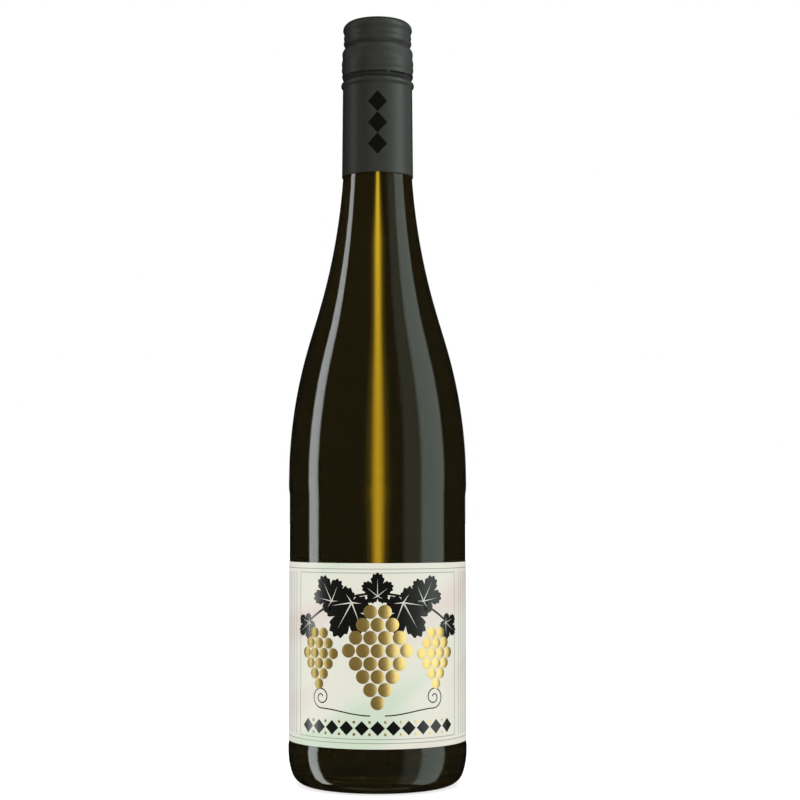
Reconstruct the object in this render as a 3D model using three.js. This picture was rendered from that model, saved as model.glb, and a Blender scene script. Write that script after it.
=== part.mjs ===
// A full, unopened 0.75 litre wine bottle: a tall glass bottle with sloping shoulders, the wine in it,
// a long aluminium screw cap rolled onto its neck and a paper label wrapped round its body.
// Millimetres, +Z up. The origin is the middle of the base, on the surface that the bottle stands on,
// and the middle of the label faces -Y.
import * as THREE from "three";

// Round pieces. An arc gets twice as many straight steps as three.js is asked for.
const SIDES = 48;
const HALF_STEPS = 3;
const COARSE_HALF_STEPS = 2;

// Outside of the glass: a rounded heel, a label panel set in a little, and a shoulder and a neck that
// are one arc each, joined by the straight line that touches both
const HEEL = { radius: 38.2, tightArc: 7.5, wideArc: 29, turn: 0.33 };
const HEEL_TOP = 16.7;
const PANEL_RADIUS = 37.86;
const PANEL_BOTTOM = 18.8;
const PANEL_TOP = 122.9;
const SHOULDER_BOTTOM = 126.8;
const OUTSIDE = {
  bodyRadius: 38.24,
  bodyTop: 129.4,
  shoulderArc: 208.6,
  neckRadius: 14.32,
  neckBottom: 280.5,
  neckArc: 277.6,
};

// Base: a flat ring to stand on, round a domed punt
const STAND_INNER_RADIUS = 25.1;
const PUNT_HEIGHT = 11;
const BASE_THICKNESS = 4.2;

// Top of the neck, which the cap covers
const FINISH_RADIUS = 13.3;
const FINISH_BOTTOM = 301.5;
const FINISH_STEP = 3;
const MOUTH_HEIGHT = 328.9;
const MOUTH_ROUND = 2.4;
const BORE_ROUND = 1;

// Inside of the glass
const INSIDE = {
  bodyRadius: 35.6,
  bodyTop: 129.8,
  shoulderArc: 200,
  neckRadius: 9.6,
  neckBottom: 283,
  neckArc: 264,
};
const INSIDE_FLOOR = 5.6;
const INSIDE_HEEL_ROUND = { across: 9.4, up: 11 };

// Wine
const FILL_HEIGHT = 267.5;
const WINE_CLEARANCE = 0.3;

// Screw cap
const CAP_TOP = 330;
const CAP_BOTTOM = 261.7;
const CAP_WALL = 0.3;
const CAP_BORE_RADIUS = 13.6;
const CAP_LINER = 0.6;
const CROWN_ROUND = { across: 4.1, up: 3.7 };
const SKIRT_TOP_RADIUS = 15.16;
const SKIRT_BOTTOM_RADIUS = 15.49;
// Rolled part of the cap from the crown down to the skirt: each crest and groove, below the top
const GRIP_RINGS = [
  { below: 3.8, radius: 15.08 },
  { below: 5.6, radius: 14.53 },
  { below: 7, radius: 14.74 },
  { below: 8.1, radius: 14.54 },
  { below: 9.4, radius: 14.84 },
  { below: 11.2, radius: 13.99 },
];
const THREAD_RINGS = [
  { below: 13.5, radius: 15.36 },
  { below: 16.3, radius: 15.29 },
  { below: 18.4, radius: 15.66 },
  { below: 19.8, radius: 15.52 },
  { below: 21.2, radius: 15.68 },
  { below: 22.7, radius: 15.32 },
  { below: 24, radius: 15.5 },
];
const TEAR_LINE_AND_BEAD = [
  { below: 26.1, radius: 14.28 },
  { below: 26.8, radius: 15.35 },
  { below: 27.6, radius: 15.84 },
  { below: 28.5, radius: 15.87 },
  { below: 29.3, radius: 15.32 },
  { below: 30, radius: SKIRT_TOP_RADIUS },
];

// Label
const LABEL_BOTTOM = 19.2;
const LABEL_TOP = 95.1;
const LABEL_SIDES = 44;
const LABEL_GLUE = 0.05;
const LABEL_THICKNESS = 0.15;
const LABEL_FRONT = -Math.PI / 2;

const glassFinish = new THREE.MeshStandardMaterial({
  color: 0x2a2410,
  roughness: 0.04,
  metalness: 0,
  transparent: true,
  opacity: 0.9,
});
const wineFinish = new THREE.MeshStandardMaterial({
  color: 0xc8a23a,
  roughness: 0.05,
  metalness: 0,
  transparent: true,
  opacity: 0.7,
});
const capFinish = new THREE.MeshStandardMaterial({ color: 0x34352f, roughness: 0.5, metalness: 0.4 });
const paperFinish = new THREE.MeshStandardMaterial({ color: 0xe6e6de, roughness: 0.7, metalness: 0 });

// Profiles are drawn as radius and height.

// A dome from its middle down to its foot.
function drawDome(profile, footRadius, rise, foot) {
  const arc = (footRadius ** 2 + rise ** 2) / (2 * rise);
  const reach = Math.asin(footRadius / arc);
  profile.absarc(0, foot + rise - arc, arc, Math.PI / 2, Math.PI / 2 - reach, true);
}

// The turn from the floor inside up into the wall.
function drawInnerHeel(profile, wallRadius, floor, { across, up }) {
  profile.absellipse(wallRadius - across, floor + up, across, up, -Math.PI / 2, 0, false);
}

// The heel outside: a tight arc up from the ring that the bottle stands on, and a wide arc on from there.
function drawOuterHeel(lower, upper, { radius, tightArc, wideArc, turn }) {
  const across = (wideArc - tightArc) * Math.cos(turn);
  const up = (wideArc - tightArc) * Math.sin(turn);
  lower.absarc(radius - wideArc + across, tightArc, tightArc, -Math.PI / 2, -turn, false);
  upper.absarc(radius - wideArc, tightArc + up, wideArc, -turn, 0, false);
}

// The shoulder and the neck, from bodyTop up to neckBottom.
function drawShoulderAndNeck(profile, shape) {
  const { bodyRadius, bodyTop, shoulderArc, neckRadius, neckBottom, neckArc } = shape;
  const arcs = shoulderArc + neckArc;
  const across = arcs - (bodyRadius - neckRadius);
  const up = neckBottom - bodyTop;
  const lean = Math.asin(arcs / Math.hypot(across, up)) - Math.atan2(across, up);
  profile.absarc(bodyRadius - shoulderArc, bodyTop, shoulderArc, 0, lean, false);
  profile.absarc(neckRadius + neckArc, neckBottom, neckArc, Math.PI + lean, Math.PI, true);
}

// From the middle of the punt, up the outside and over the mouth to the top of the bore.
function glassOutside() {
  const base = new THREE.Path();
  const side = new THREE.Path();
  drawDome(base, STAND_INNER_RADIUS, PUNT_HEIGHT, 0);
  drawOuterHeel(base, side, HEEL);
  side.lineTo(HEEL.radius, HEEL_TOP);
  side.lineTo(PANEL_RADIUS, PANEL_BOTTOM);
  side.lineTo(PANEL_RADIUS, PANEL_TOP);
  side.lineTo(OUTSIDE.bodyRadius, SHOULDER_BOTTOM);
  drawShoulderAndNeck(side, OUTSIDE);
  side.lineTo(OUTSIDE.neckRadius, FINISH_BOTTOM - FINISH_STEP);
  side.lineTo(FINISH_RADIUS, FINISH_BOTTOM);

  const mouth = new THREE.Path();
  const rimRadius = FINISH_RADIUS - MOUTH_ROUND;
  const lipRadius = INSIDE.neckRadius + BORE_ROUND;
  mouth.absarc(rimRadius, MOUTH_HEIGHT - MOUTH_ROUND, MOUTH_ROUND, 0, Math.PI / 2, false);
  mouth.absarc(lipRadius, MOUTH_HEIGHT - BORE_ROUND, BORE_ROUND, Math.PI / 2, Math.PI, false);
  const sidePoints = side.getPoints(HALF_STEPS).slice(1);
  return [...base.getPoints(HALF_STEPS), ...sidePoints, ...mouth.getPoints(COARSE_HALF_STEPS)];
}

// From the middle of the floor up to the bottom of the bore, drawn in by a clearance.
function glassInside(clearance) {
  const floor = INSIDE_FLOOR + clearance;
  const shape = {
    ...INSIDE,
    bodyRadius: INSIDE.bodyRadius - clearance,
    shoulderArc: INSIDE.shoulderArc - clearance,
    neckRadius: INSIDE.neckRadius - clearance,
    neckArc: INSIDE.neckArc + clearance,
  };
  const profile = new THREE.Path();
  drawDome(profile, STAND_INNER_RADIUS, PUNT_HEIGHT + BASE_THICKNESS - INSIDE_FLOOR, floor);
  drawInnerHeel(profile, shape.bodyRadius, floor, INSIDE_HEEL_ROUND);
  drawShoulderAndNeck(profile, shape);
  return profile.getPoints(COARSE_HALF_STEPS);
}

function glassProfile() {
  return [...glassOutside(), ...glassInside(0).reverse()];
}

// The inside of the glass, cut level at the fill height.
function wineProfile() {
  const wall = glassInside(WINE_CLEARANCE);
  const above = wall.findIndex((point) => point.y > FILL_HEIGHT);
  const lower = wall[above - 1];
  const upper = wall[above];
  const edge = lower.clone().lerp(upper, (FILL_HEIGHT - lower.y) / (upper.y - lower.y));
  return [...wall.slice(0, above), edge, new THREE.Vector2(0, FILL_HEIGHT)];
}

// The underside of the top and the bore from the middle down, then the outside back up to the middle.
function capProfile() {
  const rings = [...GRIP_RINGS, ...THREAD_RINGS, ...TEAR_LINE_AND_BEAD];
  const crownRadius = rings[0].radius - CROWN_ROUND.across;
  const crownHeight = CAP_TOP - CROWN_ROUND.up;
  const profile = new THREE.Path();
  profile.moveTo(0, CAP_TOP - CAP_LINER);
  profile.lineTo(crownRadius, CAP_TOP - CAP_LINER);
  const boreAcross = CAP_BORE_RADIUS - crownRadius;
  const boreUp = CROWN_ROUND.up - CAP_LINER;
  profile.absellipse(crownRadius, crownHeight, boreAcross, boreUp, Math.PI / 2, 0, true);
  profile.lineTo(CAP_BORE_RADIUS, FINISH_BOTTOM + FINISH_STEP / 2);
  profile.lineTo(SKIRT_TOP_RADIUS - CAP_WALL, FINISH_BOTTOM - FINISH_STEP);
  profile.lineTo(SKIRT_BOTTOM_RADIUS - CAP_WALL, CAP_BOTTOM);
  profile.lineTo(SKIRT_BOTTOM_RADIUS, CAP_BOTTOM);
  for (const { below, radius } of rings.toReversed()) {
    profile.lineTo(radius, CAP_TOP - below);
  }
  const { across, up } = CROWN_ROUND;
  profile.absellipse(crownRadius, crownHeight, across, up, 0, Math.PI / 2, false);
  profile.lineTo(0, CAP_TOP);
  return profile.getPoints(HALF_STEPS);
}

// A profile swept round the upright axis.
function turned(name, profile, finish) {
  const mesh = new THREE.Mesh(new THREE.LatheGeometry(profile, SIDES), finish);
  mesh.name = name;
  mesh.rotation.x = Math.PI / 2;
  return mesh;
}

// A sheet wrapped most of the way round the panel, with a strip of bare glass left at the back.
function makeLabel() {
  const reach = (Math.PI * LABEL_SIDES) / SIDES;
  const inner = PANEL_RADIUS + LABEL_GLUE;
  const sheet = new THREE.Shape();
  sheet.absarc(0, 0, inner + LABEL_THICKNESS, LABEL_FRONT - reach, LABEL_FRONT + reach, false);
  sheet.absarc(0, 0, inner, LABEL_FRONT + reach, LABEL_FRONT - reach, true);
  const geometry = new THREE.ExtrudeGeometry(sheet, {
    depth: LABEL_TOP - LABEL_BOTTOM,
    curveSegments: LABEL_SIDES / 2,
    bevelEnabled: false,
  });
  const mesh = new THREE.Mesh(geometry, paperFinish);
  mesh.name = "label";
  mesh.position.z = LABEL_BOTTOM;
  return mesh;
}

const bottle = new THREE.Group();
bottle.name = "wine_bottle";
bottle.add(
  turned("glass_bottle", glassProfile(), glassFinish),
  turned("wine", wineProfile(), wineFinish),
  turned("screw_cap", capProfile(), capFinish),
  makeLabel(),
);

export default bottle;
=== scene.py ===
"""Looks of a full, unopened wine bottle: dark glass, golden wine, a screw cap and a paper label.

Lengths are in metres. Turned pieces take their outlines from the solids. Paper and print are laid out
flat, by the distance round the bottle from the middle of the front and the height above the base, and
are then wrapped round it.
"""

import math

import bmesh
import bpy
import numpy as np
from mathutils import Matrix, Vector


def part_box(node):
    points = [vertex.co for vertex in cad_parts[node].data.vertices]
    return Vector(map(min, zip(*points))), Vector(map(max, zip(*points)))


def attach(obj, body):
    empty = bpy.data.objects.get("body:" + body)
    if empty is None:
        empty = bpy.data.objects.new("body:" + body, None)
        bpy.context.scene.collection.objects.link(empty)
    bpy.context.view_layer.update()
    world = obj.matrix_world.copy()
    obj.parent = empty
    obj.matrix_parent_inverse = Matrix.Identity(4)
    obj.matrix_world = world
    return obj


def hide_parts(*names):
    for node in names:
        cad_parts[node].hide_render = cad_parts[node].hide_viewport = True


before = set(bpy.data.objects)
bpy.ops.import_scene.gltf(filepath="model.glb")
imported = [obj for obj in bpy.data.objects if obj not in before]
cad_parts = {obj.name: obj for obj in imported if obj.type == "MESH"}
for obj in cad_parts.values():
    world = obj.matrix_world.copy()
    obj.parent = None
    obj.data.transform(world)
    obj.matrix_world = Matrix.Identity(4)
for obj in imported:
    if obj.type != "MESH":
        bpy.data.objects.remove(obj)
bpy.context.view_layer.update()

MM = 0.001

# Camera: fitted to the outline in the photograph, which is 800 pixels each way
FRAME_PIXELS = 800
AIM_PIXEL = (377.55, 425.0)
FOCAL_PIXELS = 1817.5
SENSOR_WIDTH = 36
CAMERA_DISTANCE = 786.2 * MM
CAMERA_HEIGHT = 114.0 * MM
CAMERA_TILT = math.radians(2.904)

# Turned pieces: how their outlines are read and made finer
DECIMALS = 7
AXIS_TOLERANCE = 0.002 * MM
LEVEL_TOLERANCE = 0.001 * MM
SHARP_TURN = math.radians(40)
LONG_AGAINST_SHORT = 2.5
LONG_STRETCH = 8 * MM
STRAIGHT_BEND = 1e-4
STEPS_BETWEEN_ROWS = 4
GLASS_SIDES = 288
WINE_SIDES = 192
CAP_SIDES = 600

# Details of the glass and the wine
BASE_NOTCHES = 72
BASE_NOTCH_DEPTH = 0.3 * MM
SEAM_HEIGHT = 0.06 * MM
SEAM_HALF_WIDTH = math.radians(0.8)
SEAM_BOTTOM = 14 * MM
WINE_INTO_WALL = 0.08 * MM
MENISCUS_HEIGHT = 1.2 * MM
MENISCUS_REACH = 1.6 * MM
MENISCUS_WIDTH = 4 * MENISCUS_REACH
MENISCUS_ROWS = 9

# Details of the cap, whose places are measured down from its top.
# Rows wider than CAP_OUTSIDE_RADIUS are on its outside.
KNURLS = 100
KNURL_DEPTH = 0.09 * MM
KNURL_BAND = (12.8 * MM, 17.5 * MM)
CAP_OUTSIDE_RADIUS = 13.8 * MM
# The tear line is drawn as dark bars: painted shade where the slits in the cap show dark.
TEAR_LINE = 24.6 * MM
TEAR_LINE_WIDTH = 0.7 * MM
TEAR_LINE_HEIGHT = 0.1 * MM
TEAR_SLITS = 10
TEAR_BRIDGE = 1.2 * MM
CAP_ORNAMENT_MIDDLE = 46.9 * MM
CAP_LOZENGE = (4.2 * MM, 4.6 * MM)

# Paper and print, each print a little prouder than the one under it
STRIP_WIDTH = 1 * MM
CUT_TOLERANCE = 1e-8
PAPER_INTO_GLASS = 0.03 * MM
PRINT_DEPTH = 0.02 * MM
INK_HEIGHT = 0.02 * MM
FOIL_HEIGHT = 0.05 * MM
VEIN_HEIGHT = 0.035 * MM

# Domes pressed into the foil, in shares of their size
DOME_RISE = 0.13
DOME_RINGS = (1, 0.85, 0.6, 0.3)
DOME_SIDES = 28

# Layout of the label: a framed picture on the front and a ruled field on each side of it
BORDER = 2.4 * MM
PICTURE_HALF_WIDTH = 38.5 * MM
PICTURE_MARGIN = 3.9 * MM
THIN_LINE = 0.25 * MM
RULED_FROM = 42 * MM
RULED_TO = 62 * MM
RULED_PITCH = 2.5 * MM

# The picture: a garland of vine leaves with bunches of grapes, over a row of lozenges
GARLAND_TOP = 82.7 * MM
GARLAND_DROP = 15 * MM
GARLAND_HALF_WIDTH = 36 * MM
STALK_WIDTH = 0.9 * MM
STALK_POINTS = 73
TENDRIL_WIDTH = 0.5 * MM
TENDRIL_START = (3 * MM, 32.8 * MM)
STEM_POINTS = 40
CURL_MIDDLE = (25 * MM, 39.9 * MM)
CURL_SIZE = 4.6 * MM
CURL_TURNS = 1.7
CURL_TIGHTENING = 0.85
CURL_POINTS = 70
LEAVES = [
    # mm round from the middle, mm above the garland, size in mm and the way it points in degrees
    (0, 1.0, 7.5, 90),
    (12.5, -5.0, 12.5, -60),
    (21.0, 4.0, 9.0, 62),
    (33.5, -0.5, 6.5, -35),
]
# Bunches in mm, with the grapes in each row, whose rows and radius are shares of their pitch
MIDDLE_BUNCH = {"around": 0, "hang": 7.5, "pitch": 6.1, "rows": [2, 3, 4, 5, 4, 3, 2, 1]}
SIDE_BUNCH = {"around": 26.3, "hang": 8.5, "pitch": 4.8, "rows": [2, 3, 4, 3, 2, 1]}
GRAPE_ROW = 0.87
GRAPE_RADIUS = 0.47
FRIEZE_HEIGHT = 27.7 * MM
FRIEZE_LOZENGES = 11
FRIEZE_PITCH = 2 * GARLAND_HALF_WIDTH / FRIEZE_LOZENGES
FRIEZE_HALF_LOZENGE = 0.46 * FRIEZE_PITCH
FRIEZE_DOT_RISE = 0.38 * FRIEZE_PITCH
FRIEZE_DOT_RADIUS = 0.09 * FRIEZE_PITCH

# A leaf, in shares of its size
LEAF_POINTS = 180
LEAF_LOBES = 5
LEAF_CORE = 0.5
LOBE_REACH = 0.36
LOBE_ROUNDNESS = 0.7
LEAF_TEETH = 25
TOOTH_REACH = 0.04
TIP_STRETCH = 0.14
LEAF_STALK = 0.28
VEIN_REACH = 0.72
VEIN_SHORTENING = 0.1
VEIN_HALF_WIDTH = 0.025

# Floor and world
FLOOR_REACH = 30
FLOOR_DROP = 0.1 * MM
SKY_EDGE = 0.15
SKY_BELOW = 0.75
SKY_ABOVE = 1.1
ROOM_LIGHT = 0.006

# Heights between which the tall lights stand
TALL = (-1.1, 1.8)

# Watts of a flat light for each unit of its radiance and each square metre
WATTS_PER_RADIANCE = 4

# The light behind the bottle: levels at shares of its width, and how its sides draw in towards its top.
# Straight through, its light crosses two surfaces of glass and one of wine, in front and behind.
GLOW_LEVELS = [(0, 0), (0.18, 0.07), (0.5, 1), (0.82, 0.07), (1, 0)]
GLOW_TAPER = 0.3
GLOW_TAPER_FROM = 0.55
GLOW_TAPER_TO = 0.82
SURFACES_THROUGH = 6


def screen_colour(red, green, blue):
    """A shader colour from 8-bit screen values."""
    def linear(value):
        share = value / 255
        return share / 12.92 if share <= 0.04045 else ((share + 0.055) / 1.055) ** 2.4
    return (linear(red), linear(green), linear(blue), 1.0)


def eased(share):
    """A share from 0 to 1 that leaves and arrives gently."""
    return share * share * (3 - 2 * share)


# Outlines

def outline_of(node):
    """Rows of radius and height along the front of a turned solid, from its lowest point on the axis."""
    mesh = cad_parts[node].data
    place = {}
    for vertex in mesh.vertices:
        x, y, z = vertex.co
        if abs(x) < AXIS_TOLERANCE and y < AXIS_TOLERANCE:
            place[vertex.index] = (round(max(-y, 0.0), DECIMALS), round(z, DECIMALS))
    neighbours = {}
    for edge in mesh.edges:
        a, b = (place.get(index) for index in edge.vertices)
        if a and b and a != b:
            neighbours.setdefault(a, []).append(b)
            neighbours.setdefault(b, []).append(a)
    on_axis = [point for point in neighbours if point[0] < AXIS_TOLERANCE]
    outline = [min(on_axis, key=lambda point: point[1])]
    while True:
        onward = [point for point in neighbours[outline[-1]] if point not in outline]
        if not onward:
            return np.array(outline)
        outline.append(onward[0])


def outside_of(outline):
    """The outer radius of an outline, as a function of height."""
    rising = outline[outline[:, 1].argmin():outline[:, 1].argmax() + 1]
    return lambda height: float(np.interp(height, rising[:, 1], rising[:, 0]))


def tangent_at(before, after):
    """Direction of a smooth line at a point, from the chords on its two sides, or None at a corner."""
    lengths = [np.linalg.norm(before), np.linalg.norm(after)]
    units = [before / lengths[0], after / lengths[1]]
    if math.acos(np.clip(units[0] @ units[1], -1, 1)) > SHARP_TURN:
        return None
    if lengths[0] > LONG_AGAINST_SHORT * lengths[1]:
        return units[0]
    if lengths[1] > LONG_AGAINST_SHORT * lengths[0]:
        return units[1]
    mean = units[0] * lengths[1] + units[1] * lengths[0]
    return mean / np.linalg.norm(mean)


def smoothed(outline):
    """A finer outline through the same points, which keeps corners and long straight stretches."""
    chords = np.diff(outline, axis=0)
    lengths = np.linalg.norm(chords, axis=1)
    leaving = chords / lengths[:, None]
    arriving = leaving.copy()
    for i in range(1, len(chords)):
        tangent = tangent_at(chords[i - 1], chords[i])
        if tangent is not None:
            arriving[i - 1] = leaving[i] = tangent
    rows = [outline[0]]
    for i, length in enumerate(lengths):
        bend = np.linalg.norm(arriving[i] - leaving[i])
        steps = 1 if bend < STRAIGHT_BEND and length > LONG_STRETCH else STEPS_BETWEEN_ROWS
        for share in np.linspace(0, 1, steps + 1)[1:]:
            rest = 1 - share
            place = outline[i] + eased(share) * chords[i]
            pull = share * rest ** 2 * leaving[i] - share * share * rest * arriving[i]
            rows.append(place + length * pull)
    return np.array(rows)


# Meshes

def new_piece(name, mesh, material):
    """An object for a mesh, smooth but for its sharp edges, riding on the bottle."""
    mesh.polygons.foreach_set("use_smooth", [True] * len(mesh.polygons))
    mesh.set_sharp_from_angle(angle=SHARP_TURN)
    mesh.materials.append(material)
    piece = bpy.data.objects.new(name, mesh)
    bpy.context.scene.collection.objects.link(piece)
    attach(piece, "root")
    return piece


def piece_from(bm, name, material):
    """A piece from an editable mesh, which is freed."""
    mesh = bpy.data.meshes.new(name)
    bm.to_mesh(mesh)
    bm.free()
    return new_piece(name, mesh, material)


def turned(name, outline, sides, material, relief=None):
    """An outline swept round the axis, with what relief(row, radius, height, angles) adds to each row."""
    angles = np.linspace(0, 2 * math.pi, sides, endpoint=False)
    level = np.zeros(sides)
    vertices, faces, below = [], [], None
    for row, (radius, height) in enumerate(outline):
        first = len(vertices)
        if radius < AXIS_TOLERANCE:
            vertices.append((0, 0, height))
            ring = [first] * sides
        else:
            out, up = relief(row, radius, height, angles) if relief else (level, level)
            reach = radius + out
            vertices += zip(reach * np.sin(angles), -reach * np.cos(angles), height + up)
            ring = list(range(first, first + sides))
        if below:
            for i in range(sides):
                j = (i + 1) % sides
                faces.append(tuple(dict.fromkeys((below[i], below[j], ring[j], ring[i]))))
        below = ring
    mesh = bpy.data.meshes.new(name)
    mesh.from_pydata(vertices, [], faces)
    return new_piece(name, mesh, material)


def cut_into_strips(bm):
    """Cuts flat faces along upright lines, so that they can bend."""
    ends = [vertex.co.x for vertex in bm.verts]
    for cut in range(math.ceil(min(ends) / STRIP_WIDTH), math.ceil(max(ends) / STRIP_WIDTH)):
        everything = bm.verts[:] + bm.edges[:] + bm.faces[:]
        place = (cut * STRIP_WIDTH, 0, 0)
        bmesh.ops.bisect_plane(
            bm, geom=everything, dist=CUT_TOLERANCE, plane_co=place, plane_no=(1, 0, 0),
        )


def bent(radius, around, up, out):
    """Place in space of a point of the flat layout."""
    angle = around / radius
    return ((radius + out) * math.sin(angle), -(radius + out) * math.cos(angle), up)


def wrapped(name, shapes, radius_at, inward, outward, material):
    """Flat shapes, given by their corners, made solid and bent round the radius at each height."""
    bm = bmesh.new()
    for shape in shapes:
        bm.faces.new([bm.verts.new((around, up, 0)) for around, up in shape])
    bm.normal_update()
    bmesh.ops.triangulate(bm, faces=bm.faces[:])
    cut_into_strips(bm)
    lower = bm.verts[:]
    raised = bmesh.ops.extrude_face_region(bm, geom=bm.faces[:], use_keep_orig=True)
    for vertex in lower:
        vertex.co.z = -inward
    for item in raised["geom"]:
        if isinstance(item, bmesh.types.BMVert):
            item.co.z = outward
    bmesh.ops.recalc_face_normals(bm, faces=bm.faces[:])
    for vertex in bm.verts:
        around, up, out = vertex.co
        vertex.co = bent(radius_at(up), around, up, out)
    return piece_from(bm, name, material)


def embossed(name, discs, radius, inward, material):
    """Low round domes bent round the bottle, each given by its place and size."""
    bm = bmesh.new()
    angles = np.linspace(0, 2 * math.pi, DOME_SIDES, endpoint=False)
    for around, up, size in discs:
        domed = [(share, DOME_RISE * size * (1 - share * share)) for share in DOME_RINGS]
        rings = []
        for share, out in [(1, -inward)] + domed:
            points = zip(around + share * size * np.cos(angles), up + share * size * np.sin(angles))
            rings.append([bm.verts.new(bent(radius, *point, out)) for point in points])
        bm.faces.new(rings[0])
        bm.faces.new(rings[-1])
        for lower, upper in zip(rings, rings[1:]):
            for i in range(DOME_SIDES):
                bm.faces.new((lower[i - 1], lower[i], upper[i], upper[i - 1]))
    bmesh.ops.recalc_face_normals(bm, faces=bm.faces[:])
    return piece_from(bm, name, material)


# Flat shapes

def bar(left, right, bottom, top):
    """An upright rectangle."""
    return [(left, bottom), (right, bottom), (right, top), (left, top)]


def frame_lines(left, right, bottom, top, width):
    """The four sides of a frame, which meet at mitred corners."""
    outer = bar(left, right, bottom, top)
    inner = bar(left + width, right - width, bottom + width, top - width)
    return [[outer[i], outer[(i + 1) % 4], inner[(i + 1) % 4], inner[i]] for i in range(4)]


def lozenge(around, up, half_width, half_height):
    """A lozenge that stands on its lower corner."""
    return [
        (around - half_width, up),
        (around, up - half_height),
        (around + half_width, up),
        (around, up + half_height),
    ]


def ribbon(line, width):
    """A band of one width along a line of points."""
    along = np.gradient(line, axis=0)
    across = np.column_stack((-along[:, 1], along[:, 0])) / np.linalg.norm(along, axis=1)[:, None]
    return np.vstack((line + across * width / 2, (line - across * width / 2)[::-1]))


def vine_leaf(around, up, size, turn):
    """A leaf with toothed lobes, notched at its stalk."""
    angles = np.linspace(-math.pi, math.pi, LEAF_POINTS, endpoint=False)
    lobes = LEAF_CORE + LOBE_REACH * np.abs(np.cos(LEAF_LOBES / 2 * angles)) ** LOBE_ROUNDNESS
    toothed = lobes + TOOTH_REACH * np.cos(LEAF_TEETH * angles)
    reach = size * toothed * (1 + TIP_STRETCH * np.cos(angles))
    return np.column_stack((around + reach * np.cos(angles + turn), up + reach * np.sin(angles + turn)))


def leaf_veins(around, up, size, turn):
    """A tapering vein from the stalk of a leaf to each of its lobes."""
    middle = np.array((around, up))
    stalk = middle - LEAF_STALK * size * np.array((math.cos(turn), math.sin(turn)))
    outermost = LEAF_LOBES // 2
    veins = []
    for lobe in range(-outermost, outermost + 1):
        angle = turn + lobe * 2 * math.pi / LEAF_LOBES
        reach = size * (VEIN_REACH - VEIN_SHORTENING * abs(lobe))
        tip = middle + reach * np.array((math.cos(angle), math.sin(angle)))
        along = tip - stalk
        across = VEIN_HALF_WIDTH * size * np.array((-along[1], along[0])) / np.linalg.norm(along)
        veins.append([stalk - across, tip, stalk + across])
    return veins


def tendril(start, curl, size, side):
    """A thin stem that runs from a place near the middle to below a curl, and winds up into it."""
    along = np.linspace(0, 1, STEM_POINTS)[:-1]
    stem_around = start[0] + (curl[0] - start[0]) * along
    stem_up = start[1] + (curl[1] - size - start[1]) * eased(along)
    wound = np.linspace(0, 1, CURL_POINTS)
    reach = size * (1 - CURL_TIGHTENING * wound)
    angles = CURL_TURNS * 2 * math.pi * wound - math.pi / 2
    curl_around = curl[0] + reach * np.cos(angles)
    curl_up = curl[1] + reach * np.sin(angles)
    line = np.column_stack((np.append(stem_around, curl_around), np.append(stem_up, curl_up)))
    return ribbon(line * (side, 1), TENDRIL_WIDTH)


# Nodes and materials

class Nodes:
    """The node tree of a material, light or world, with short ways to add to it."""

    def __init__(self, owner):
        owner.use_nodes = True
        self.tree = owner.node_tree

    def named(self, name):
        return self.tree.nodes[name]

    def set(self, node, **values):
        for name, value in values.items():
            node.inputs[name.replace("_", " ")].default_value = value

    def add(self, kind, **values):
        node = self.tree.nodes.new(kind)
        self.set(node, **values)
        return node

    def link(self, source, target):
        self.tree.links.new(source, target)

    def calculate(self, operation, *terms):
        """The outcome of an operation on terms that are numbers or come from other nodes."""
        node = self.add("ShaderNodeMath")
        node.operation = operation
        for socket, term in zip(node.inputs, terms):
            if isinstance(term, bpy.types.NodeSocket):
                self.link(term, socket)
            else:
                socket.default_value = term
        return node.outputs["Value"]

    def spread(self, value, **ends):
        """A node that maps a value from one range to another."""
        node = self.add("ShaderNodeMapRange", **ends)
        self.link(value, node.inputs["Value"])
        return node

    def ramp(self, factor, stops):
        """A node with colours along a factor, given as pairs of place and colour."""
        node = self.add("ShaderNodeValToRGB")
        elements = node.color_ramp.elements
        while len(elements) < len(stops):
            elements.new(0.5)
        for element, (position, colour) in zip(elements, stops):
            element.position = position
            element.color = colour
        self.link(factor, node.inputs["Fac"])
        return node


class Shader(Nodes):
    """A material with its Principled shader."""

    def __init__(self, name, **values):
        self.material = bpy.data.materials.new(name)
        super().__init__(self.material)
        self.principled = self.named("Principled BSDF")
        self.set(self.principled, **values)

    def noise(self, scale, detail, stretch=(1, 1, 1), turn=(0, 0, 0)):
        """Soft noise through the piece, with scale as lumps in a metre."""
        place = self.add("ShaderNodeTexCoord")
        mapping = self.add("ShaderNodeMapping", Scale=stretch, Rotation=turn)
        mapping.vector_type = "TEXTURE"
        noise = self.add("ShaderNodeTexNoise", Scale=scale, Detail=detail)
        self.link(place.outputs["Object"], mapping.inputs["Vector"])
        self.link(mapping.outputs["Vector"], noise.inputs["Vector"])
        return noise.outputs["Fac"]

    def colour(self, factor, *stops):
        """Base colour along a factor, given as pairs of place and colour."""
        ramp = self.ramp(factor, stops)
        self.link(ramp.outputs["Color"], self.principled.inputs["Base Color"])

    def roughness(self, factor, low, high):
        span = self.spread(factor, To_Min=low, To_Max=high)
        self.link(span.outputs["Result"], self.principled.inputs["Roughness"])

    def bump(self, factor, height):
        bump = self.add("ShaderNodeBump", Distance=height)
        self.link(factor, bump.inputs["Height"])
        self.link(bump.outputs["Normal"], self.principled.inputs["Normal"])

    def absorb(self, colour, density):
        absorption = self.add("ShaderNodeVolumeAbsorption", Color=colour, Density=density)
        self.link(absorption.outputs["Volume"], self.named("Material Output").inputs["Volume"])


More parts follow.
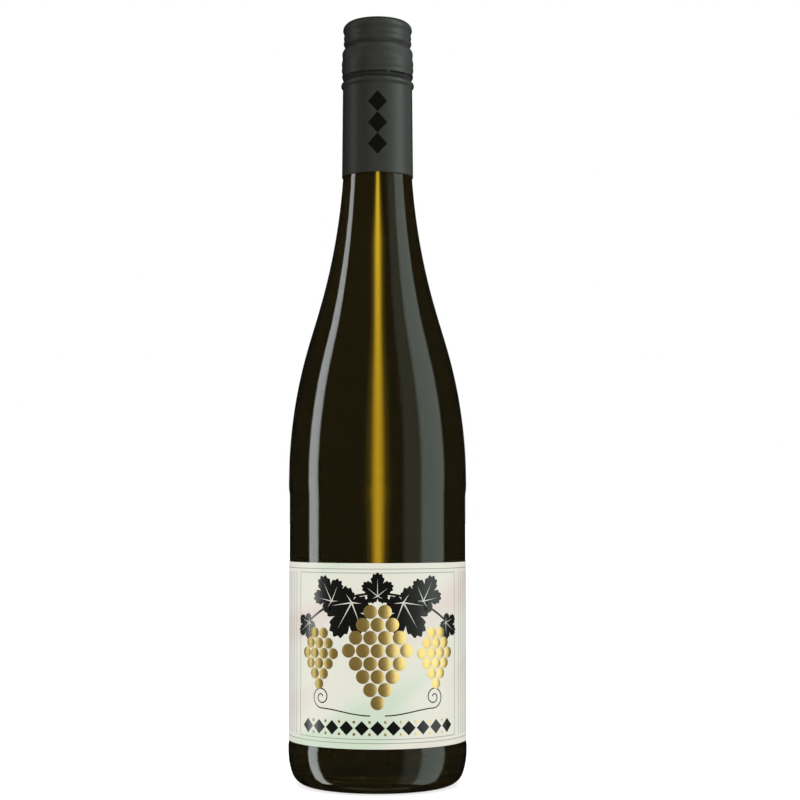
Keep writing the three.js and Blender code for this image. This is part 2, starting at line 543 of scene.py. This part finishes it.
def glass_material():
    """Dark glass: a trace of its brown is left matt, and shows where no light comes through."""
    shader = Shader("bottle_glass", Base_Color=(0.93, 0.77, 0.36, 1), IOR=1.52, Transmission_Weight=0.99)
    shader.roughness(shader.noise(scale=60, detail=3), low=0.0, high=0.03)
    shader.bump(shader.noise(scale=40, detail=1, stretch=(1, 1, 2.5)), height=0.02 * MM)
    shader.absorb((0.996, 0.978, 0.007, 1), density=135)
    return shader.material


def wine_material():
    """Clear golden wine."""
    clear = (1, 1, 1, 1)
    shader = Shader("golden_wine", Base_Color=clear, Roughness=0.0, IOR=1.34, Transmission_Weight=1.0)
    shader.absorb((0.723, 0.671, 0.136, 1), density=28)
    return shader.material


def cap_material():
    """Anthracite paint with a fine grain."""
    shader = Shader("cap_paint")
    shader.colour(
        shader.noise(scale=70, detail=3),
        (0.3, screen_colour(41, 42, 38)),
        (0.7, screen_colour(45, 46, 42)),
    )
    grain = shader.noise(scale=2600, detail=2)
    shader.roughness(grain, low=0.36, high=0.44)
    shader.bump(grain, height=0.01 * MM)
    return shader.material


def paper_material():
    """Off-white paper with fibres, and green and pink tints in diagonal bands that are a painted pearl
    sheen.
    """
    shader = Shader("paper_painted_pearl_sheen", Specular_IOR_Level=0.3)
    # The green and pink bands are painted pearl sheen, laid into the base colour.
    shader.colour(
        shader.noise(scale=46, detail=0.6, stretch=(4, 4, 1), turn=(0, -0.55, 0)),
        (0.34, screen_colour(217, 232, 209)),
        (0.46, screen_colour(236, 237, 222)),
        (0.55, screen_colour(238, 237, 222)),
        (0.67, screen_colour(235, 223, 213)),
    )
    fibre = shader.noise(scale=1800, detail=4, stretch=(1, 1, 2))
    shader.roughness(fibre, low=0.5, high=0.62)
    shader.bump(fibre, height=0.015 * MM)
    return shader.material


def foil_material():
    """Gold foil, a little uneven."""
    shader = Shader("gold_foil", Metallic=0.8)
    shader.colour(
        shader.noise(scale=90, detail=2),
        (0.3, screen_colour(234, 189, 94)),
        (0.7, screen_colour(243, 201, 108)),
    )
    grain = shader.noise(scale=2200, detail=3)
    shader.roughness(grain, low=0.34, high=0.44)
    shader.bump(grain, height=0.01 * MM)
    return shader.material


def ink_material(name, colour, low, high):
    """Ink of one colour, with a grain between two roughnesses."""
    shader = Shader(name, Base_Color=colour)
    grain = shader.noise(scale=1500, detail=2)
    shader.roughness(grain, low, high)
    shader.bump(grain, height=0.004 * MM)
    return shader.material


# Glass and wine

def make_glass():
    """The bottle, with notches round the ring that it stands on and the two seams of its mould."""
    outline = smoothed(outline_of("glass_bottle"))
    outline[:, 1] = outline[:, 1].clip(0)
    mouth = outline[:, 1].argmax()
    ring = np.flatnonzero(outline[:, 1] < LEVEL_TOLERANCE)
    seam_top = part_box("screw_cap")[0].z

    def relief(row, radius, height, angles):
        out = np.zeros(len(angles))
        up = np.zeros(len(angles))
        if ring[0] < row < ring[-1]:
            up = BASE_NOTCH_DEPTH * (1 - np.cos(BASE_NOTCHES * angles)) / 2
        if row < mouth and SEAM_BOTTOM < height < seam_top:
            from_seam = np.abs(angles % math.pi - math.pi / 2)
            out = SEAM_HEIGHT * np.exp(-((from_seam / SEAM_HALF_WIDTH) ** 2))
        return out, up

    piece = turned("glass", outline, GLASS_SIDES, glass_material(), relief)
    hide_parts("glass_bottle")


def make_wine():
    """What fills the glass: its side lies just inside the wall, and its surface climbs a little there."""
    glass = outline_of("glass_bottle")
    inside = smoothed(glass[glass[:, 1].argmax():][::-1])
    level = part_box("wine")[1].z
    along = np.gradient(inside, axis=0)
    along /= np.linalg.norm(along, axis=1)[:, None]
    wall = inside + WINE_INTO_WALL * np.column_stack((along[:, 1], -along[:, 0]))
    wall[0, 0] = 0
    wall = wall[wall[:, 1] < level]
    reach = np.linspace(0, MENISCUS_WIDTH, MENISCUS_ROWS)
    climb = MENISCUS_HEIGHT * np.exp(-reach / MENISCUS_REACH)
    surface = np.column_stack((wall[-1, 0] - reach, level + climb))
    piece = turned("wine_fill", np.vstack((wall, surface, (0, level))), WINE_SIDES, wine_material())
    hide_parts("wine")


# Screw cap

CAP_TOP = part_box("screw_cap")[1].z
cap_outline = smoothed(outline_of("screw_cap"))
cap_radius_at = outside_of(cap_outline)


def make_cap():
    """The cap, with a band of fine upright ridges. It doesn't show through the glass under it."""
    band_top, band_bottom = (CAP_TOP - below for below in KNURL_BAND)

    def relief(row, radius, height, angles):
        out = np.zeros(len(angles))
        if radius > CAP_OUTSIDE_RADIUS and band_bottom < height < band_top:
            out = -KNURL_DEPTH * (1 - np.cos(KNURLS * angles)) / 2
        return out, np.zeros(len(angles))

    piece = turned("cap", cap_outline, CAP_SIDES, cap_material(), relief)
    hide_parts("screw_cap")
    piece.visible_transmission = False
    return piece


def make_painted_slit_shade():
    """Dark bars of painted shade for the slits where the top of the cap breaks away, with small bridges
    between them.
    """
    height = CAP_TOP - TEAR_LINE
    bottom = height - TEAR_LINE_WIDTH / 2
    top = height + TEAR_LINE_WIDTH / 2
    pitch = 2 * math.pi * cap_radius_at(height) / TEAR_SLITS
    reach = (pitch - TEAR_BRIDGE) / 2
    slits = [bar(i * pitch - reach, i * pitch + reach, bottom, top) for i in range(TEAR_SLITS)]
    # The bars' colour is painted shade, darker than the cap's paint, for the dark gap of each slit.
    material = ink_material("cap_painted_slit_shade", screen_colour(28, 29, 26), low=0.6, high=0.8)
    return wrapped("painted_slit_shade", slits, cap_radius_at, PRINT_DEPTH, TEAR_LINE_HEIGHT, material)


def make_cap_ornament():
    """Three lozenges in gloss black, one above the other, on the front of the cap."""
    half_width, half_height = CAP_LOZENGE
    middle = CAP_TOP - CAP_ORNAMENT_MIDDLE
    lozenges = [lozenge(0, middle + 2 * i * half_height, half_width, half_height) for i in (-1, 0, 1)]
    material = ink_material("cap_gloss_black", screen_colour(18, 18, 12), low=0.2, high=0.3)
    wrapped("cap_ornament", lozenges, cap_radius_at, PRINT_DEPTH, INK_HEIGHT, material)


# Label

LABEL_BOTTOM, LABEL_TOP = (corner.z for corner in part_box("label"))
label_corners = np.array([vertex.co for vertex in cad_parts["label"].data.vertices])
LABEL_RADIUS = float(np.hypot(label_corners[:, 0], label_corners[:, 1]).max())
LABEL_REACH = LABEL_RADIUS * float(np.arctan2(label_corners[:, 0], -label_corners[:, 1]).max())


def label_radius_at(height):
    """The label's radius, which is the same at every height."""
    return LABEL_RADIUS


def make_paper():
    """The sheet, which reaches just into the glass so that no air shows between them."""
    glass_radius = outside_of(outline_of("glass_bottle"))((LABEL_BOTTOM + LABEL_TOP) / 2)
    inward = LABEL_RADIUS - glass_radius + PAPER_INTO_GLASS
    sheet = bar(-LABEL_REACH, LABEL_REACH, LABEL_BOTTOM, LABEL_TOP)
    piece = wrapped("label_paper", [sheet], label_radius_at, inward, 0, paper_material())
    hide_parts("label")


def grey_lines():
    """Border lines along the whole label, the frame of the picture and the ruled fields beside it."""
    shapes = []
    for up in (LABEL_BOTTOM + BORDER, LABEL_TOP - BORDER):
        shapes.append(bar(-LABEL_REACH, LABEL_REACH, up - THIN_LINE / 2, up + THIN_LINE / 2))
    bottom = LABEL_BOTTOM + PICTURE_MARGIN
    top = LABEL_TOP - PICTURE_MARGIN
    shapes += frame_lines(-PICTURE_HALF_WIDTH, PICTURE_HALF_WIDTH, bottom, top, THIN_LINE)
    for side in (-1, 1):
        for around in np.arange(RULED_FROM, RULED_TO, RULED_PITCH) * side:
            shapes.append(bar(around - THIN_LINE / 2, around + THIN_LINE / 2, bottom, top))
    return shapes


def garland_height(around):
    """Height of the garland's stalk, which is an arch."""
    return GARLAND_TOP - GARLAND_DROP * (around / GARLAND_HALF_WIDTH) ** 2


def garland_leaves():
    """Places of the leaves on both halves of the garland."""
    places = []
    for around, above, size, degrees in LEAVES:
        up = garland_height(around * MM) + above * MM
        turn = math.radians(degrees)
        places.append((around * MM, up, size * MM, turn))
        if around:
            places.append((-around * MM, up, size * MM, math.pi - turn))
    return places


def black_print():
    """The stalk of the garland, its leaves and tendrils and the row of lozenges."""
    around = np.linspace(-GARLAND_HALF_WIDTH, GARLAND_HALF_WIDTH, STALK_POINTS)
    shapes = [ribbon(np.column_stack((around, garland_height(around))), STALK_WIDTH)]
    shapes += [vine_leaf(*place) for place in garland_leaves()]
    shapes += [tendril(TENDRIL_START, CURL_MIDDLE, CURL_SIZE, side) for side in (-1, 1)]
    for i in range(FRIEZE_LOZENGES):
        middle = (i + 0.5) * FRIEZE_PITCH - GARLAND_HALF_WIDTH
        shapes.append(lozenge(middle, FRIEZE_HEIGHT, FRIEZE_HALF_LOZENGE, FRIEZE_HALF_LOZENGE))
    return shapes


def bunch(around, hang, pitch, rows):
    """Grapes in staggered rows, hanging below the garland."""
    top = garland_height(around * MM) - hang * MM
    grapes = []
    for row, count in enumerate(rows):
        for i in range(count):
            place = around + (i - (count - 1) / 2) * pitch
            grapes.append((place * MM, top - row * GRAPE_ROW * pitch * MM, GRAPE_RADIUS * pitch * MM))
    return grapes


def gold_discs():
    """The grapes of the three bunches, and dots between the lozenges."""
    mirrored = dict(SIDE_BUNCH, around=-SIDE_BUNCH["around"])
    discs = [grape for place in (MIDDLE_BUNCH, SIDE_BUNCH, mirrored) for grape in bunch(**place)]
    for i in range(1, FRIEZE_LOZENGES):
        around = i * FRIEZE_PITCH - GARLAND_HALF_WIDTH
        for side in (-1, 1):
            discs.append((around, FRIEZE_HEIGHT + side * FRIEZE_DOT_RISE, FRIEZE_DOT_RADIUS))
    return discs


def make_ink(name, shapes, height, material):
    """Ink printed on the label."""
    wrapped(name, shapes, label_radius_at, PRINT_DEPTH, height, material)


def make_label():
    """The paper, its ink and its gold foil. The foil is given back."""
    grey = ink_material("grey_ink", screen_colour(150, 150, 144), low=0.4, high=0.5)
    black = ink_material("black_ink", screen_colour(22, 21, 19), low=0.22, high=0.3)
    pale = ink_material("vein_ink", screen_colour(226, 224, 210), low=0.45, high=0.55)
    veins = [vein for place in garland_leaves() for vein in leaf_veins(*place)]
    make_paper()
    make_ink("label_lines", grey_lines(), INK_HEIGHT, grey)
    make_ink("label_black", black_print(), INK_HEIGHT, black)
    make_ink("label_veins", veins, VEIN_HEIGHT, pale)
    inward = PRINT_DEPTH + FOIL_HEIGHT
    return embossed("label_gold", gold_discs(), LABEL_RADIUS + FOIL_HEIGHT, inward, foil_material())


# Stage, lights and camera

def make_floor():
    """A plain pale floor, which the bottle doesn't show in its glass."""
    mesh = bpy.data.meshes.new("floor")
    corners = bar(-FLOOR_REACH, FLOOR_REACH, -FLOOR_REACH, FLOOR_REACH)
    mesh.from_pydata([(x, y, 0) for x, y in corners], [], [(0, 1, 2, 3)])
    floor = bpy.data.objects.new("floor", mesh)
    floor.location.z = -FLOOR_DROP
    bpy.context.scene.collection.objects.link(floor)
    shader = Shader("pale_floor", Base_Color=(0.6, 0.6, 0.6, 1), Roughness=0.8, Specular_IOR_Level=0.0)
    shader.set(shader.principled, Emission_Color=(1, 1, 1, 1), Emission_Strength=0.7)
    mesh.materials.append(shader.material)
    floor.visible_diffuse = False
    floor.visible_glossy = False
    floor.visible_transmission = False
    floor.visible_shadow = False


def add_light(name, centre, facing, size, radiance, colour, seen_by):
    """A flat light of a width and height, seen by glossy rays alone or by transmission rays alone."""
    data = bpy.data.lights.new(name, "AREA")
    data.shape = "RECTANGLE"
    data.size, data.size_y = size
    data.energy = WATTS_PER_RADIANCE * radiance * data.size * data.size_y
    data.color = colour
    light = bpy.data.objects.new(name, data)
    light.location = centre
    light.rotation_euler = facing.to_track_quat("-Z", "Y").to_euler()
    light.visible_camera = False
    light.visible_diffuse = False
    light.visible_glossy = seen_by == "glossy"
    light.visible_transmission = seen_by == "transmission"
    bpy.context.scene.collection.objects.link(light)
    return light


def standing_light(
    name, bearings, heights, radiance, colour=(1, 1, 1), distance=1.0, lean=0, seen_by="glossy",
):
    """A light between two bearings, in degrees to the right of the camera, leaning in by some degrees."""
    ends = []
    for bearing in bearings:
        angle = math.radians(bearing)
        ends.append(Vector((distance * math.sin(angle), -distance * math.cos(angle), sum(heights) / 2)))
    centre = (ends[0] + ends[1]) / 2
    facing = Vector((-centre.x, -centre.y, -distance * math.tan(math.radians(lean))))
    size = ((ends[1] - ends[0]).length, (heights[1] - heights[0]) / math.cos(math.radians(lean)))
    return add_light(name, centre, facing, size, radiance, colour, seen_by)


def link_light(light, pieces, state):
    """Keeps a light off some pieces, or on those pieces alone."""
    receivers = bpy.data.collections.new(light.name + "_receivers")
    for piece in pieces:
        receivers.objects.link(piece)
    for receiver in receivers.collection_objects:
        receiver.light_linking.link_state = state
    light.light_linking.receiver_collection = receivers


def place_on_light(nodes):
    """The place across a light and the place up it, each from 0 to 1."""
    place = nodes.add("ShaderNodeNewGeometry")
    parts = nodes.add("ShaderNodeSeparateXYZ")
    nodes.link(place.outputs["Parametric"], parts.inputs["Vector"])
    return parts.outputs["X"], parts.outputs["Y"]


def set_levels(nodes, across, levels):
    """Brightness across a light, given as pairs of place and level."""
    ramp = nodes.ramp(across, [(place, (level, level, level, 1)) for place, level in levels])
    ramp.color_ramp.interpolation = "EASE"
    nodes.link(ramp.outputs["Color"], nodes.named("Emission").inputs["Color"])


def fade_to_sides(light, share):
    """Lets a light fade out over a share of its width on each side."""
    nodes = Nodes(light.data)
    across, _ = place_on_light(nodes)
    set_levels(nodes, across, [(0, 0), (share, 1), (1 - share, 1), (1, 0)])


def glow_straight_through(light):
    """Lets a light fade to its sides and taper to its top, and show only where nothing turns it back."""
    nodes = Nodes(light.data)
    across, up = place_on_light(nodes)
    tapered = nodes.spread(across)
    for end, below, above in (("From Min", 0, GLOW_TAPER), ("From Max", 1, 1 - GLOW_TAPER)):
        side = nodes.spread(
            up, From_Min=GLOW_TAPER_FROM, From_Max=GLOW_TAPER_TO, To_Min=below, To_Max=above,
        )
        nodes.link(side.outputs["Result"], tapered.inputs[end])
    set_levels(nodes, tapered.outputs["Result"], GLOW_LEVELS)
    path = nodes.add("ShaderNodeLightPath")
    mirrored = path.outputs["Glossy Depth"]
    crossed = path.outputs["Transmission Depth"]
    turns = nodes.calculate("MULTIPLY_ADD", mirrored, SURFACES_THROUGH, crossed)
    straight = nodes.calculate("LESS_THAN", turns, SURFACES_THROUGH + 0.5)
    nodes.link(straight, nodes.named("Emission").inputs["Strength"])


def light_glass(cap, painted_slit_shade, foil):
    """Strips with soft sides that show in the glass, and a faint line along its heel."""
    left = standing_light("left_strip", (-100.2, -79.5), TALL, radiance=4.0, colour=(0.95, 1, 0.985))
    right = standing_light("right_softbox", (54.6, 96.7), TALL, radiance=1.3, colour=(0.85, 1, 0.92))
    panel = standing_light("right_panel", (30.5, 60.6), TALL, radiance=0.3, colour=(0.88, 1, 0.8))
    fade_to_sides(left, share=0.23)
    fade_to_sides(right, share=0.15)
    fade_to_sides(panel, share=0.19)
    link_light(left, [cap, painted_slit_shade, foil], "EXCLUDE")
    link_light(right, [cap, painted_slit_shade, foil], "EXCLUDE")
    link_light(panel, [foil], "EXCLUDE")
    add_light(
        "heel_line",
        centre=Vector((0, -0.035, -1)),
        facing=Vector((0, 0, 1)),
        size=(0.9, 0.19),
        radiance=0.34,
        colour=(1, 1, 0.8),
        seen_by="glossy",
    )


def light_wine():
    """A strip behind the bottle, which glows through the wine."""
    back = standing_light(
        "back_strip",
        bearings=(175.64, 184.58),
        heights=(0.0, 0.5),
        radiance=0.85,
        distance=1.2,
        lean=60,
        seen_by="transmission",
    )
    glow_straight_through(back)


def light_cap(cap):
    """Lights for the cap alone, cut off low down so that the undersides of its rings stay darker."""
    left = standing_light("cap_left", (-95, -77), (0, 4), radiance=0.78, colour=(0.95, 1, 0.9))
    right = standing_light(
        "cap_right", (-26, 142), (-0.5, 4), radiance=0.3, colour=(0.95, 1, 0.97), distance=2.0,
    )
    softbox = standing_light("cap_softbox", (59.5, 92), (0.1, 3), radiance=1.6, colour=(0.85, 1, 0.92))
    for light in (left, right, softbox):
        link_light(light, [cap], "INCLUDE")


def light_foil(foil):
    """Cool lights for the gold foil alone."""
    cool = (0.76, 1, 1.5)
    left = standing_light("foil_left", (-104, -81.5), (-0.5, 1.0), radiance=1.3, colour=cool)
    right = standing_light("foil_right", (24, 95), (-0.5, 1.0), radiance=1.4, colour=cool)
    for light in (left, right):
        link_light(light, [foil], "INCLUDE")


def make_world():
    """White behind the bottle, a soft sky for what is matt and a dark room for reflections."""
    world = bpy.data.worlds.new("studio")
    world.cycles.sampling_method = "NONE"
    nodes = Nodes(world)
    background = nodes.named("Background")
    nodes.set(background, Color=(1, 1, 1, 1))
    path = nodes.add("ShaderNodeLightPath")
    place = nodes.add("ShaderNodeTexCoord")
    parts = nodes.add("ShaderNodeSeparateXYZ")
    nodes.link(place.outputs["Generated"], parts.inputs["Vector"])
    sky = nodes.spread(
        parts.outputs["Z"], From_Min=-SKY_EDGE, From_Max=SKY_EDGE, To_Min=SKY_BELOW, To_Max=SKY_ABOVE,
    )
    matt = nodes.calculate("MULTIPLY", sky.outputs["Result"], path.outputs["Is Diffuse Ray"])
    room = nodes.calculate("MAXIMUM", matt, ROOM_LIGHT)
    seen = nodes.calculate("MAXIMUM", room, path.outputs["Is Camera Ray"])
    nodes.link(seen, background.inputs["Strength"])
    bpy.context.scene.world = world


def make_camera():
    """The camera that took the photograph."""
    data = bpy.data.cameras.new("camera")
    data.sensor_width = SENSOR_WIDTH
    data.lens = SENSOR_WIDTH * FOCAL_PIXELS / FRAME_PIXELS
    data.shift_x = 0.5 - AIM_PIXEL[0] / FRAME_PIXELS
    data.shift_y = AIM_PIXEL[1] / FRAME_PIXELS - 0.5
    camera = bpy.data.objects.new("camera", data)
    camera.location = (0, -CAMERA_DISTANCE, CAMERA_HEIGHT)
    camera.rotation_euler = (math.pi / 2 + CAMERA_TILT, 0, 0)
    bpy.context.scene.collection.objects.link(camera)
    bpy.context.scene.camera = camera


make_glass()
make_wine()
cap = make_cap()
# Dark bars of painted shade along the cap's tear line.
painted_slit_shade = make_painted_slit_shade()
make_cap_ornament()
foil = make_label()
make_floor()
light_glass(cap, painted_slit_shade, foil)
light_wine()
light_cap(cap)
light_foil(foil)
make_world()
make_camera()
bpy.context.scene.view_settings.view_transform = "Standard"
